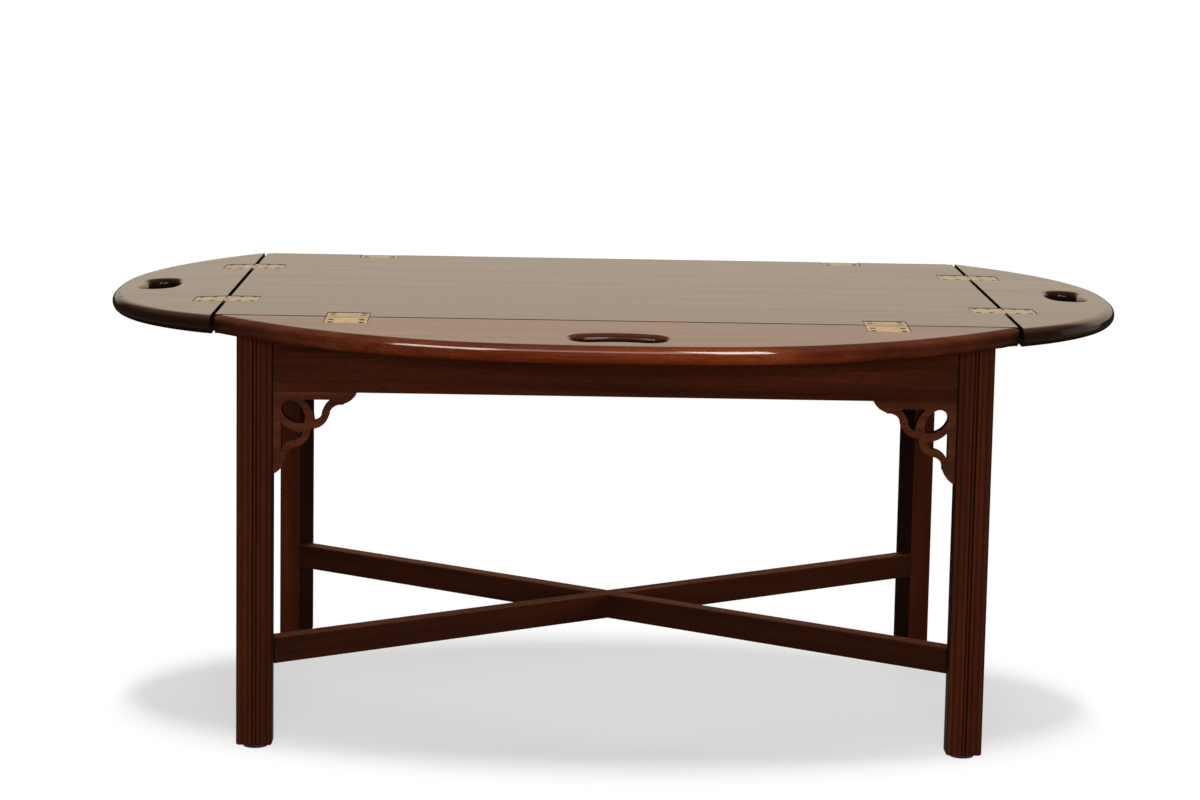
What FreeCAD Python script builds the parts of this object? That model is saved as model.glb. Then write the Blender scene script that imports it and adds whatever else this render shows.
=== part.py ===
import FreeCAD, Part
import math
import os
from types import SimpleNamespace

import Sketcher
from FreeCAD import Placement, Rotation, Vector

# Butlers tray table: a stand on four moulded legs carries a lift-off tray, whose four flaps fold up on
# flush hinges. Millimetres and degrees; the origin is on the floor under the tray's centre, X runs along
# the length, the front faces -Y and Z is up.

DIMENSIONS = {
    # Tray panel.
    "tray_height": 457.0,
    "tray_thickness": 19.5,
    "panel_length": 817.0,
    "panel_width": 587.0,
    "panel_ease": 0.4,
    # Flaps. The rim is an arch of a crown arc and two shoulder arcs over the seam's centre line; the arch
    # stands wider than the board by its flare at each end.
    "flap_reach": 137.0,
    "side_flare": 8.0,
    "side_crown_radius": 1570.0,
    "side_crown_half": 96.0,
    "end_overhang": 12.5,
    "end_flare": 4.0,
    "end_crown_radius": 800.0,
    "end_crown_half": 36.0,
    "rim_flat": 0.5,
    "front_droop_angle": 3.8,
    "back_droop_angle": 6.5,
    "left_droop_angle": 2.5,
    "right_droop_angle": 1.0,
    # Hand hole through each flap, bent about a point beyond the rim.
    "hole_length": 92.0,
    "hole_width": 31.0,
    "hole_bend": 128.0,
    "hole_centre": 86.0,
    "hole_flat": 3.5,
    # Hinges: leaves let in a little below the top surface, with flat-topped knuckles level with them.
    "side_hinge_margin": 134.5,
    "end_hinge_margin": 137.5,
    "hinge_width": 43.0,
    "leaf_length": 33.5,
    "leaf_thickness": 2.5,
    "leaf_sink": 0.35,
    "leaf_clearance": 0.8,
    "leaf_room": 0.7,
    "pin_depth": 1.9,
    "pin_radius": 0.8,
    "running_clearance": 0.05,
    "knuckle_wall": 0.9,
    "knuckle_room": 0.25,
    "knuckle_length": 20.0,
    "knuckle_gap": 0.3,
    "web_sink": 0.4,
    "spring_width": 8.0,
    "spring_thickness": 0.6,
    "spring_clearance": 0.1,
    "spring_inset": 0.5,
    "spring_margin": 6.5,
    # Countersunk screws of the leaves, battens and corner blocks.
    "screw_side": 6.0,
    "screw_edge": 5.5,
    "screw_pitch": 14.0,
    "screw_head_radius": 3.2,
    "screw_head_depth": 1.7,
    "screw_shank_radius": 1.5,
    "screw_tip_cover": 5.5,
    "screw_slot_width": 0.7,
    "screw_slot_depth": 0.8,
    "screw_clearance": 0.05,
    # Battens under the panel, inside the apron frame.
    "batten_width": 18.0,
    "batten_depth": 18.0,
    "batten_clearance": 1.0,
    "batten_end_gap": 4.0,
    "batten_screw_end": 35.0,
    "batten_screw_bite": 10.0,
    # Legs: how far they stand inside the panel's edge, their section and the moulding of two faces.
    "stand_margin_x": 20.5,
    "stand_margin_y": 12.0,
    "leg_width": 37.0,
    "leg_corner_round": 1.6,
    "leg_foot_ease": 1.5,
    "groove_radius": 2.6,
    "hollow_radius": 9.0,
    "hollow_depth": 1.0,
    "hollow_place": 9.0,
    # Aprons and their tenons.
    "apron_depth": 61.5,
    "apron_thickness": 18.0,
    "apron_inset": 5.0,
    "tenon_wall": 2.5,
    "tenon_shoulder": 4.5,
    "tenon_margin": 8.0,
    "glue_gap": 0.1,
    # Crossed stretchers.
    "stretcher_height": 87.0,
    "stretcher_depth": 26.5,
    "stretcher_thickness": 22.0,
    "stretcher_ease": 2.0,
    "stretcher_shoulder": 5.0,
    "stretcher_tenon_length": 10.0,
    # Fret brackets.
    "fret_reach": 86.0,
    "fret_thickness": 13.0,
    "fret_set_in": 1.0,
    "fret_rail": 8.0,
    # Corner blocks inside the apron frame.
    "block_near": 40.0,
    "block_far": 70.0,
    "block_height": 26.0,
    "block_rise": 8.0,
    "block_screw_bite": 12.0,
    # Glides nailed under the legs.
    "glide_height": 4.5,
    "glide_flange": 1.3,
    "glide_radius": 14.5,
    "glide_sole_radius": 12.5,
    "nail_radius": 1.6,
    "nail_length": 14.0,
    # How far a cutting solid runs past the face that it opens.
    "overrun": 5.0,
}

UP = Vector(0, 0, 1)
TINY = 1e-4

doc = FreeCAD.newDocument("butlers_tray_table")
dims = doc.addObject("Spreadsheet::Sheet", "dims")
for row, (alias, number) in enumerate(DIMENSIONS.items(), start=1):
    dims.set(f"A{row}", alias)
    dims.set(f"B{row}", str(number))
    dims.setAlias(f"B{row}", alias)
doc.recompute()


class Size:
    """A length together with the sheet formula that gives it; sums and shares of sizes carry both."""

    def __init__(self, number, formula):
        self.number = number
        self.formula = formula

    def __float__(self):
        return self.number

    def __add__(self, other):
        other = sized(other)
        return Size(self.number + other.number, f"({self.formula} + {other.formula})")

    def __sub__(self, other):
        other = sized(other)
        return Size(self.number - other.number, f"({self.formula} - {other.formula})")

    def __mul__(self, factor):
        return Size(self.number * factor, f"({self.formula} * ({factor}))")

    def __truediv__(self, divisor):
        return Size(self.number / divisor, f"({self.formula} / {divisor})")

    def __neg__(self):
        return self * -1

    __rmul__ = __mul__


def sized(value):
    """A size, also from a plain number."""
    return value if isinstance(value, Size) else Size(float(value), str(float(value)))


d = SimpleNamespace(**{alias: Size(float(dims.get(alias)), "dims." + alias) for alias in DIMENSIONS})
pieces = {}


def bind(obj, prop, value):
    """Ties a property to a size's formula."""
    obj.setExpression(prop, sized(value).formula)


def spot(x, y, z, rotation=Rotation()):
    """A placement at a point given by sizes."""
    return Placement(Vector(float(x), float(y), float(z)), rotation)


def turned(angle):
    return Rotation(UP, angle)


def lain(angle):
    """A turn about X, which lays an upright solid along Y."""
    return Rotation(Vector(1, 0, 0), angle)


ALONG_X = Rotation(Vector(0, 1, 0), 90)


def put(obj, x, y, z, rotation=Rotation()):
    """Turns an object and ties its position to sizes."""
    obj.Placement = Placement(Vector(), rotation)
    for axis, value in zip("xyz", (x, y, z)):
        bind(obj, "Placement.Base." + axis, value)
    return obj


def put_in(frame, obj, x, y, z, rotation=Rotation()):
    """Sets an object at a point of a turned frame."""
    obj.Placement = frame * spot(x, y, z, rotation)
    return obj


def piece(obj, label):
    """Counts an object as one sub-part, under its own name."""
    obj.Label = label
    pieces[label] = obj
    return obj


def box(name, length, width, height):
    obj = doc.addObject("Part::Box", name)
    bind(obj, "Length", length)
    bind(obj, "Width", width)
    bind(obj, "Height", height)
    return obj


def cylinder(name, radius, height):
    obj = doc.addObject("Part::Cylinder", name)
    bind(obj, "Radius", radius)
    bind(obj, "Height", height)
    return obj


def cone(name, lower_radius, upper_radius, height):
    obj = doc.addObject("Part::Cone", name)
    bind(obj, "Radius1", lower_radius)
    bind(obj, "Radius2", upper_radius)
    bind(obj, "Height", height)
    return obj


def fuse(name, shapes):
    obj = doc.addObject("Part::MultiFuse", name)
    obj.Shapes = shapes
    return obj


def cut(name, base, tools):
    obj = doc.addObject("Part::Cut", name)
    obj.Base = base
    obj.Tool = fuse(name + "_tools", tools) if len(tools) > 1 else tools[0]
    return obj


def group(name, members):
    obj = doc.addObject("Part::Compound", name)
    obj.Links = members
    return obj


def level_sketch(body, name, lift=0):
    """A sketch on the body's own XY plane, raised by a size."""
    sketch = body.newObject("Sketcher::SketchObject", name)
    plane = next(item for item in body.Origin.OriginFeatures if item.Role == "XY_Plane")
    sketch.AttachmentSupport = (plane, [""])
    sketch.MapMode = "FlatFace"
    bind(sketch, "AttachmentOffset.Base.z", lift)
    return sketch


def constrain(sketch, constraints):
    for constraint in constraints:
        sketch.addConstraint(Sketcher.Constraint(*constraint))


def hold(sketch, name, value, *constraint):
    """Adds a dimension to a sketch and ties it to a size."""
    index = sketch.addConstraint(Sketcher.Constraint(*constraint, float(value)))
    sketch.renameConstraint(index, name)
    bind(sketch, "Constraints." + name, value)


def pad(body, sketch, height):
    feature = body.newObject("PartDesign::Pad", sketch.Name + "_pad")
    feature.Profile = sketch
    bind(feature, "Length", height)
    doc.recompute()
    return feature


def dress(body, kind, prop, value, base, wanted):
    """Rounds or chamfers the edges of a feature that a test picks."""
    edges = [f"Edge{number}" for number, edge in enumerate(base.Shape.Edges, start=1) if wanted(edge)]
    feature = body.newObject("PartDesign::" + kind, f"{body.Name}_{kind.lower()}")
    feature.Base = (base, edges)
    bind(feature, prop, value)
    doc.recompute()
    return feature


def rectangle_body(name, length, width, height, centred=False):
    """A block on a sketched rectangle, which starts at the origin or lies about it."""
    body = doc.addObject("PartDesign::Body", name)
    sketch = level_sketch(body, name + "_outline")
    corners = [Vector(-1, -1, 0), Vector(1, -1, 0), Vector(1, 1, 0), Vector(-1, 1, 0)]
    if not centred:
        corners = [corner + Vector(1, 1, 0) for corner in corners]
    for start, end in zip(corners, corners[1:] + corners[:1]):
        sketch.addGeometry(Part.LineSegment(start, end))
    for line in range(4):
        direction = "Horizontal" if line % 2 == 0 else "Vertical"
        constrain(sketch, [("Coincident", line, 2, (line + 1) % 4, 1), (direction, line)])
    if centred:
        constrain(sketch, [("Symmetric", 0, 1, 1, 2, -1, 1)])
    else:
        constrain(sketch, [("Coincident", 0, 1, -1, 1)])
    hold(sketch, "long_side", length, "DistanceX", 0, 1, 0, 2)
    hold(sketch, "short_side", width, "DistanceY", 1, 1, 1, 2)
    return body, pad(body, sketch, height)


# The stand's plan: outside of the legs, legs' inside faces, and the aprons' outer and inner faces.

HALF_X = d.panel_length / 2 - d.stand_margin_x
HALF_Y = d.panel_width / 2 - d.stand_margin_y
FACE_X = HALF_X - d.leg_width
FACE_Y = HALF_Y - d.leg_width
OUT_X = HALF_X - d.apron_inset
OUT_Y = HALF_Y - d.apron_inset
IN_X = OUT_X - d.apron_thickness
IN_Y = OUT_Y - d.apron_thickness
PANEL_BOTTOM = d.tray_height - d.tray_thickness
APRON_BOTTOM = PANEL_BOTTOM - d.apron_depth
LEG_HEIGHT = PANEL_BOTTOM - d.glide_height
# The chamfer on each leg's inside corner ends where the aprons' inner faces meet the leg.
LEG_CHAMFER = d.leg_width - d.apron_inset - d.apron_thickness
TENON_THICKNESS = d.apron_thickness - 2 * d.tenon_shoulder
TENON_DEPTH = d.apron_depth - 2 * d.tenon_margin
# Each tenon stops a wall's thickness short of the one that comes in at a right angle.
TENON_LENGTH = d.leg_width - d.apron_inset - d.tenon_shoulder - TENON_THICKNESS - d.tenon_wall
STRETCHER_TENON_THICKNESS = d.stretcher_thickness - 2 * d.stretcher_shoulder
STRETCHER_TENON_DEPTH = d.stretcher_depth - 2 * d.stretcher_shoulder
# The stretchers run to the middle of the chamfers.
CHAMFER_X = float(FACE_X + LEG_CHAMFER / 2)
CHAMFER_Y = float(FACE_Y + LEG_CHAMFER / 2)
STRETCHER_ANGLE = math.degrees(math.atan2(CHAMFER_Y, CHAMFER_X))
STRETCHER_REACH = math.hypot(CHAMFER_X, CHAMFER_Y)
# Each corner's side of the table along X and Y, and the turn that points its own axes inwards.
CORNERS = {
    "front_left": (-1, -1, turned(0)),
    "front_right": (1, -1, turned(90)),
    "back_right": (1, 1, turned(180)),
    "back_left": (-1, 1, turned(270)),
}


# Legs. Each is drawn from its outside corner, with X and Y pointing inwards.

def leg_blank(name):
    """A square post with its inside corner chamfered, its outer edges rounded and its foot eased."""
    body, post = rectangle_body(name, d.leg_width, d.leg_width, LEG_HEIGHT)
    width = float(d.leg_width)

    def upright(edge):
        return edge.BoundBox.ZLength > width

    def inside(edge):
        return upright(edge) and min(edge.BoundBox.XMin, edge.BoundBox.YMin) > width - TINY

    def outside(edge):
        return upright(edge) and min(edge.BoundBox.XMin, edge.BoundBox.YMin) < TINY

    def foot(edge):
        return edge.BoundBox.ZMax < TINY

    post = dress(body, "Chamfer", "Size", LEG_CHAMFER, post, inside)
    post = dress(body, "Fillet", "Radius", d.leg_corner_round, post, outside)
    dress(body, "Chamfer", "Size", d.leg_foot_ease, post, foot)
    return body


def leg_mouldings(name):
    """A half-round groove between two shallow hollows, along each outer face."""
    hollow_out = d.hollow_depth - d.hollow_radius
    lines = [
        (d.groove_radius, d.leg_width / 2, 0),
        (d.hollow_radius, d.hollow_place, hollow_out),
        (d.hollow_radius, d.leg_width - d.hollow_place, hollow_out),
    ]
    tools = []
    for radius, along, out in lines:
        for x, y in ((along, out), (out, along)):
            flute = cylinder(name + "_flute", radius, LEG_HEIGHT + 2 * d.overrun)
            tools.append(put(flute, x, y, -d.overrun))
    return tools


def leg_mortises(name, stretcher_angle):
    """Seats of the two apron tenons, the stretcher's tenon and the glide's nail."""
    deep = TENON_LENGTH + d.glue_gap + d.overrun
    thick = TENON_THICKNESS + 2 * d.glue_gap
    tall = TENON_DEPTH + 2 * d.glue_gap
    start = d.leg_width - TENON_LENGTH - d.glue_gap
    side = d.apron_inset + d.tenon_shoulder - d.glue_gap
    low = LEG_HEIGHT - d.apron_depth + d.tenon_margin - d.glue_gap
    along_x = put(box(name + "_mortise", deep, thick, tall), start, side, low)
    along_y = put(box(name + "_mortise", thick, deep, tall), side, start, low)
    stretcher = box(
        name + "_stretcher_mortise",
        d.stretcher_tenon_length + d.glue_gap + d.overrun,
        STRETCHER_TENON_THICKNESS + 2 * d.glue_gap,
        STRETCHER_TENON_DEPTH + 2 * d.glue_gap,
    )
    middle = d.leg_width - LEG_CHAMFER / 2
    floor = d.stretcher_height - d.glide_height + d.stretcher_shoulder - d.glue_gap
    put_in(
        spot(middle, middle, floor, turned(stretcher_angle)),
        stretcher,
        -d.stretcher_tenon_length - d.glue_gap,
        -STRETCHER_TENON_THICKNESS / 2 - d.glue_gap,
        0,
    )
    nail_depth = d.nail_length + d.glue_gap
    nail = cylinder(name + "_nail_hole", d.nail_radius + d.screw_clearance, nail_depth + d.overrun)
    put(nail, d.leg_width / 2, d.leg_width / 2, -d.overrun)
    return [along_x, along_y, stretcher, nail]


for corner, (sign_x, sign_y, turn) in CORNERS.items():
    leg_name = "leg_" + corner
    inward = STRETCHER_ANGLE if sign_x == sign_y else 90 - STRETCHER_ANGLE
    tools = leg_mouldings(leg_name) + leg_mortises(leg_name, inward)
    leg = cut(leg_name + "_cut", leg_blank(leg_name + "_blank"), tools)
    piece(put(leg, HALF_X * sign_x, HALF_Y * sign_y, d.glide_height, turn), leg_name)


# Aprons and frets. Each apron is drawn from one leg's inside face, with Y pointing inwards; the names of
# its two ends come in that order.

APRONS = {
    "front": (-FACE_X, -OUT_Y, turned(0), 2 * FACE_X, ("left", "right")),
    "right": (OUT_X, -FACE_Y, turned(90), 2 * FACE_Y, ("front", "back")),
    "back": (FACE_X, OUT_Y, turned(180), 2 * FACE_X, ("right", "left")),
    "left": (-OUT_X, FACE_Y, turned(270), 2 * FACE_Y, ("back", "front")),
}
BLOCK_SCREW_PLACE = (d.block_near + d.block_far) / 2
# The reach in which the fret's curves are drawn.
FRET_DRAWING = 82.0


def apron(side, length):
    """A board with one long tongue that stands out as a tenon at both ends, bored for the block screws."""
    board = box(side + "_apron_board", length, d.apron_thickness, d.apron_depth)
    tongue = box(side + "_apron_tenons", length + 2 * TENON_LENGTH, TENON_THICKNESS, TENON_DEPTH)
    put(tongue, -TENON_LENGTH, d.tenon_shoulder, d.tenon_margin)
    near = BLOCK_SCREW_PLACE - LEG_CHAMFER
    pilots = []
    for x in (near, length - near):
        pilot = cylinder(
            side + "_apron_pilot",
            d.screw_shank_radius + d.screw_clearance,
            d.block_screw_bite + d.screw_clearance + d.overrun,
        )
        middle = d.block_rise + d.block_height / 2
        pilots.append(put(pilot, x, d.apron_thickness + d.overrun, middle, lain(90)))
    return cut(side + "_apron_cut", fuse(side + "_apron_blank", [board, tongue]), pilots)


def fret_shape():
    """A pierced corner bracket in the XZ plane: rail, stile, two crossing ribbons and a petal between."""
    unit = float(d.fret_reach) / FRET_DRAWING
    rail = float(d.fret_rail)

    def at(along, down):
        return Vector(along * unit, 0, -down * unit)

    def mirrored(point):
        return Vector(-point.z, 0, -point.x)

    def arc(start, middle, end):
        return Part.Arc(start, middle, end).toShape()

    def mirrored_arc(start, middle, end):
        return arc(mirrored(start), mirrored(middle), mirrored(end))

    def face(edges):
        return Part.Face(Part.Wire(Part.__sortEdges__(edges)))

    tip, ear, step, neck = at(82, 0), at(70.5, 10.8), at(67.8, 12.4), at(54.6, 23)
    ear_curve = (tip, at(77.8, 6.3), ear)
    neck_curve = (step, at(57.9, 15.8), neck)
    belly_curve = (neck, at(48.6, 32.6), at(36.6, 36.6))
    outline = [
        Part.makeLine(Vector(), tip),
        arc(*ear_curve),
        Part.makeLine(ear, step),
        arc(*neck_curve),
        arc(*belly_curve),
        mirrored_arc(*belly_curve),
        mirrored_arc(*neck_curve),
        Part.makeLine(mirrored(step), mirrored(ear)),
        mirrored_arc(*ear_curve),
        Part.makeLine(mirrored(tip), Vector()),
    ]
    petal_end = at(18.4, 8.2)
    petal_side = (at(30.6, 30.6), at(28.4, 16.2), petal_end)
    petal = [
        arc(*petal_side),
        arc(petal_end, at(10.6, 10.6), mirrored(petal_end)),
        mirrored_arc(*petal_side),
    ]
    rail_start = Vector(29.8 * unit, 0, -rail)
    rail_end = Vector(57.4 * unit, 0, -rail)
    waist, point = at(47.4, 21.6), at(40.2, 28.8)
    window = [
        (rail_end, at(50.6, 13.4), waist),
        (waist, at(45.2, 26.4), point),
        (point, at(37.0, 16.6), rail_start),
    ]
    upper = [arc(*curve) for curve in window]
    upper.append(Part.makeLine(rail_start, rail_end))
    lower = [mirrored_arc(*curve) for curve in window]
    lower.append(Part.makeLine(mirrored(rail_start), mirrored(rail_end)))
    plate = face(outline).cut([face(petal), face(upper), face(lower)])
    return plate.Faces[0].extrude(Vector(0, float(d.fret_thickness), 0))


fret_blank = fret_shape()
for side, (x, y, turn, length, ends) in APRONS.items():
    board = piece(put(apron(side, length), x, y, APRON_BOTTOM, turn), "apron_" + side)
    doc.recompute()
    seats = [
        spot(0, d.fret_set_in, 0),
        spot(length, d.fret_set_in + d.fret_thickness, 0, turned(180)),
    ]
    for end, seat in zip(ends, seats):
        fret = doc.addObject("Part::Feature", f"{side}_fret_{end}")
        fret.Shape = fret_blank
        fret.Placement = board.Placement * seat
        piece(fret, f"fret_{side}_{end}")


# Stretchers. Each bar is drawn along X about the middle of the table, up from its own underside.

def stretcher_bar(name, angle, lap_below):
    """A bar with mitred shoulders and stub tenons, halved at the middle from below or above."""
    blank_length = 2 * (STRETCHER_REACH + float(d.leg_width))
    section = (d.stretcher_thickness, d.stretcher_depth)
    body, bar = rectangle_body(name + "_blank", blank_length, *section, True)
    top = float(d.stretcher_depth) - TINY

    def top_edge(edge):
        return edge.BoundBox.ZMin > top and edge.BoundBox.XLength > edge.BoundBox.YLength

    dress(body, "Fillet", "Radius", d.stretcher_ease, bar, top_edge)
    skew = math.copysign(45 - STRETCHER_ANGLE, angle)
    trims = []
    for half_turn in (0, 180):
        shoulder = spot(0, 0, 0, turned(half_turn)) * spot(STRETCHER_REACH, 0, 0, turned(skew))
        trim_height = d.stretcher_depth + 2 * d.overrun
        trim = box(name + "_trim", 2 * d.leg_width, 4 * d.stretcher_thickness, trim_height)
        trims.append(put_in(shoulder, trim, 0, -2 * d.stretcher_thickness, -d.overrun))
    reach = d.stretcher_tenon_length + STRETCHER_REACH
    tongue = box(name + "_tenons", 2 * reach, STRETCHER_TENON_THICKNESS, STRETCHER_TENON_DEPTH)
    put(tongue, -reach, -STRETCHER_TENON_THICKNESS / 2, d.stretcher_shoulder)
    whole = fuse(name + "_whole", [cut(name + "_mitred", body, trims), tongue])
    lap = box(
        name + "_lap",
        4 * d.stretcher_thickness,
        d.stretcher_thickness + 2 * d.glue_gap,
        d.stretcher_depth / 2 + d.overrun,
    )
    put_in(
        spot(0, 0, 0, turned(-2 * angle)),
        lap,
        -2 * d.stretcher_thickness,
        -d.stretcher_thickness / 2 - d.glue_gap,
        -d.overrun if lap_below else d.stretcher_depth / 2,
    )
    return put(cut(name + "_halved", whole, [lap]), 0, 0, d.stretcher_height, turned(angle))


piece(stretcher_bar("upper_stretcher", STRETCHER_ANGLE, True), "stretcher_over")
piece(stretcher_bar("lower_stretcher", -STRETCHER_ANGLE, False), "stretcher_under")


# Corner blocks, drawn from the corner where the aprons' inner faces would meet.

BLOCK_SCREW_SEAT = (d.block_far - d.block_near) / 4


def corner_block(name):
    """A diagonal brace between two aprons, counterbored for one screw into each."""
    body = doc.addObject("PartDesign::Body", name + "_blank")
    sketch = level_sketch(body, name + "_outline")
    near, far = float(d.block_near), float(d.block_far)
    points = [Vector(near, 0, 0), Vector(far, 0, 0), Vector(0, far, 0), Vector(0, near, 0)]
    for start, end in zip(points, points[1:] + points[:1]):
        sketch.addGeometry(Part.LineSegment(start, end))
    for line, axis in enumerate((-1, -1, -2, -2)):
        constrain(sketch, [("Coincident", line, 2, (line + 1) % 4, 1), ("PointOnObject", line, 1, axis)])
    hold(sketch, "near_x", d.block_near, "DistanceX", -1, 1, 0, 1)
    hold(sketch, "far_x", d.block_far, "DistanceX", -1, 1, 1, 1)
    hold(sketch, "far_y", d.block_far, "DistanceY", -1, 1, 2, 1)
    hold(sketch, "near_y", d.block_near, "DistanceY", -1, 1, 3, 1)
    pad(body, sketch, d.block_height)
    tools = []
    for radius, start in ((d.screw_shank_radius, -d.overrun), (d.screw_head_radius, BLOCK_SCREW_SEAT)):
        middle = d.block_height / 2
        bore = cylinder(name + "_bore", radius + d.screw_clearance, d.block_far)
        tools.append(put(bore, BLOCK_SCREW_PLACE, start, middle, lain(-90)))
        bore = cylinder(name + "_bore", radius + d.screw_clearance, d.block_far)
        tools.append(put(bore, start, BLOCK_SCREW_PLACE, middle, ALONG_X))
    return cut(name + "_bored", body, tools)


for corner, (sign_x, sign_y, turn) in CORNERS.items():
    block = corner_block(corner + "_block")
    put(block, IN_X * sign_x, IN_Y * sign_y, APRON_BOTTOM + d.block_rise, turn)
    piece(block, "corner_block_" + corner)


# Battens under the panel, a clearance inside the apron frame and clear of the corner blocks. Each is
# drawn from the middle of its outer edge, down from the panel.

BATTEN_END = d.block_far + d.batten_end_gap
BATTENS = {
    "front": (0, d.batten_clearance - IN_Y, turned(0), 2 * (IN_X - BATTEN_END)),
    "right": (IN_X - d.batten_clearance, 0, turned(90), 2 * (IN_Y - BATTEN_END)),
    "back": (0, IN_Y - d.batten_clearance, turned(180), 2 * (IN_X - BATTEN_END)),
    "left": (d.batten_clearance - IN_X, 0, turned(270), 2 * (IN_Y - BATTEN_END)),
}
BATTEN_SCREW_LENGTH = d.batten_depth + d.batten_screw_bite


def batten_screw_places(length):
    """How far a batten's screws lie from its middle."""
    outer = length / 2 - d.batten_screw_end
    return (-outer, sized(0), outer)


def batten(side, length):
    """A strip, bored and countersunk from below."""
    strip = box(side + "_batten_strip", length, d.batten_width, d.batten_depth)
    put(strip, -length / 2, 0, -d.batten_depth)
    bore_radius = d.screw_shank_radius + d.screw_clearance
    sink_radius = d.screw_head_radius + d.screw_clearance
    tools = []
    for x in batten_screw_places(length):
        bore = cylinder(side + "_batten_bore", bore_radius, d.batten_depth + 2 * d.overrun)
        tools.append(put(bore, x, d.batten_width / 2, -d.batten_depth - d.overrun))
        sink = cone(side + "_batten_sink", sink_radius, bore_radius, d.screw_head_depth)
        tools.append(put(sink, x, d.batten_width / 2, -d.batten_depth))
    return cut(side + "_batten_bored", strip, tools)


for side, (x, y, turn, length) in BATTENS.items():
    piece(put(batten(side, length), x, y, PANEL_BOTTOM, turn), "batten_" + side)


# Hinges. Each is drawn about its pin, which lies along X, with the leaf reaching out along Y.

KNUCKLE_RADIUS = d.pin_radius + d.running_clearance + d.knuckle_wall
SEAM_HALF = KNUCKLE_RADIUS + d.knuckle_room
LEAF_SETBACK = KNUCKLE_RADIUS + d.leaf_room
LEAF_TOP = d.pin_depth - d.leaf_sink
LEAF_BOTTOM = LEAF_TOP - d.leaf_thickness
SEAM_X = d.panel_length / 2 + SEAM_HALF
SEAM_Y = d.panel_width / 2 + SEAM_HALF
PIN_HEIGHT = d.tray_height - d.pin_depth
FLAP_BOTTOM = d.pin_depth - d.tray_thickness
# Each seam's middle, the turn that points Y outwards, its kind, and the names of its two hinges from the
# near to the far end of that turned X.
SEAMS = {
    "front": (0, -SEAM_Y, turned(180), "side", ("right", "left")),
    "right": (SEAM_X, 0, turned(270), "end", ("back", "front")),
    "back": (0, SEAM_Y, turned(0), "side", ("left", "right")),
    "left": (-SEAM_X, 0, turned(90), "end", ("front", "back")),
}
DROOPS = {
    "front": d.front_droop_angle,
    "right": d.right_droop_angle,
    "back": d.back_droop_angle,
    "left": d.left_droop_angle,
}
HINGE_HALF = {
    "side": d.panel_length / 2 - d.side_hinge_margin,
    "end": d.panel_width / 2 - d.end_hinge_margin,
}
SCREW_LENGTH = d.tray_thickness - d.leaf_sink - d.screw_tip_cover
SCREW_FAR = d.leaf_length - d.screw_edge
SCREW_ASIDE = d.hinge_width / 2 - d.screw_side
SCREW_PLACES = [
    (-SCREW_ASIDE, SCREW_FAR - d.screw_pitch),
    (-SCREW_ASIDE, SCREW_FAR),
    (SCREW_ASIDE, SCREW_FAR - d.screw_pitch),
    (SCREW_ASIDE, SCREW_FAR),
]
# Directions in which the slots of a leaf's four screws came to rest.
SLOT_TURNS = (20, 75, 130, 165)


def flap_frame(side):
    """Where a flap's own axes lie: along its seam, outwards and up, let down by its droop."""
    x, y, turn, _, _ = SEAMS[side]
    return spot(x, y, PIN_HEIGHT, turn) * spot(0, 0, 0, lain(-float(DROOPS[side])))


def panel_frame(side):
    """The same seam seen from the panel, with Y pointing to the panel's middle."""
    x, y, turn, _, _ = SEAMS[side]
    return spot(x, y, PIN_HEIGHT, turn * turned(180))


def hinge_frames(side):
    """For each hinge of a seam, by its name: its axes on the flap and its axes on the panel."""
    _, _, _, kind, ends = SEAMS[side]
    half = HINGE_HALF[kind]
    return {
        ends[0]: (flap_frame(side) * spot(-half, 0, 0), panel_frame(side) * spot(half, 0, 0)),
        ends[1]: (flap_frame(side) * spot(half, 0, 0), panel_frame(side) * spot(-half, 0, 0)),
    }


def barrel(name, start, length):
    """One knuckle, planed level with the leaf, with the web that joins them."""
    knuckle = cylinder(name + "_round", KNUCKLE_RADIUS, length)
    put(knuckle, start, 0, 0, ALONG_X)
    planed = box(name + "_planed", length + 2 * d.overrun, 2 * KNUCKLE_RADIUS, KNUCKLE_RADIUS)
    put(planed, start - d.overrun, -KNUCKLE_RADIUS, LEAF_TOP)
    web = box(name + "_web", length, LEAF_SETBACK + d.leaf_thickness, d.leaf_thickness - d.web_sink)
    return [cut(name + "_knuckle", knuckle, [planed]), put(web, start, 0, LEAF_BOTTOM)]


def leaf(name, outer_knuckles):
    """A plate with either the two outer knuckles or the middle one, and four countersunk holes."""
    plate = box(name + "_plate", d.hinge_width, d.leaf_length - LEAF_SETBACK, d.leaf_thickness)
    solids = [put(plate, -d.hinge_width / 2, LEAF_SETBACK, LEAF_BOTTOM)]
    if outer_knuckles:
        length = (d.hinge_width - d.knuckle_length) / 2 - d.knuckle_gap
        solids += barrel(name, -d.hinge_width / 2, length)
        solids += barrel(name, d.knuckle_length / 2 + d.knuckle_gap, length)
    else:
        solids += barrel(name, -d.knuckle_length / 2, d.knuckle_length)
    eye = cylinder(name + "_eye", d.pin_radius + d.running_clearance, d.hinge_width + 2 * d.overrun)
    tools = [put(eye, -d.hinge_width / 2 - d.overrun, 0, 0, ALONG_X)]
    bore_radius = d.screw_shank_radius + d.screw_clearance
    sink_radius = d.screw_head_radius + d.screw_clearance
    for x, y in SCREW_PLACES:
        bore = cylinder(name + "_bore", bore_radius, d.leaf_thickness + 2 * d.overrun)
        tools.append(put(bore, x, y, LEAF_BOTTOM - d.overrun))
        sink = cone(name + "_sink", bore_radius, sink_radius, d.screw_head_depth)
        tools.append(put(sink, x, y, LEAF_TOP - d.screw_head_depth))
    return cut(name + "_bored", fuse(name + "_blank", solids), tools)


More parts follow.
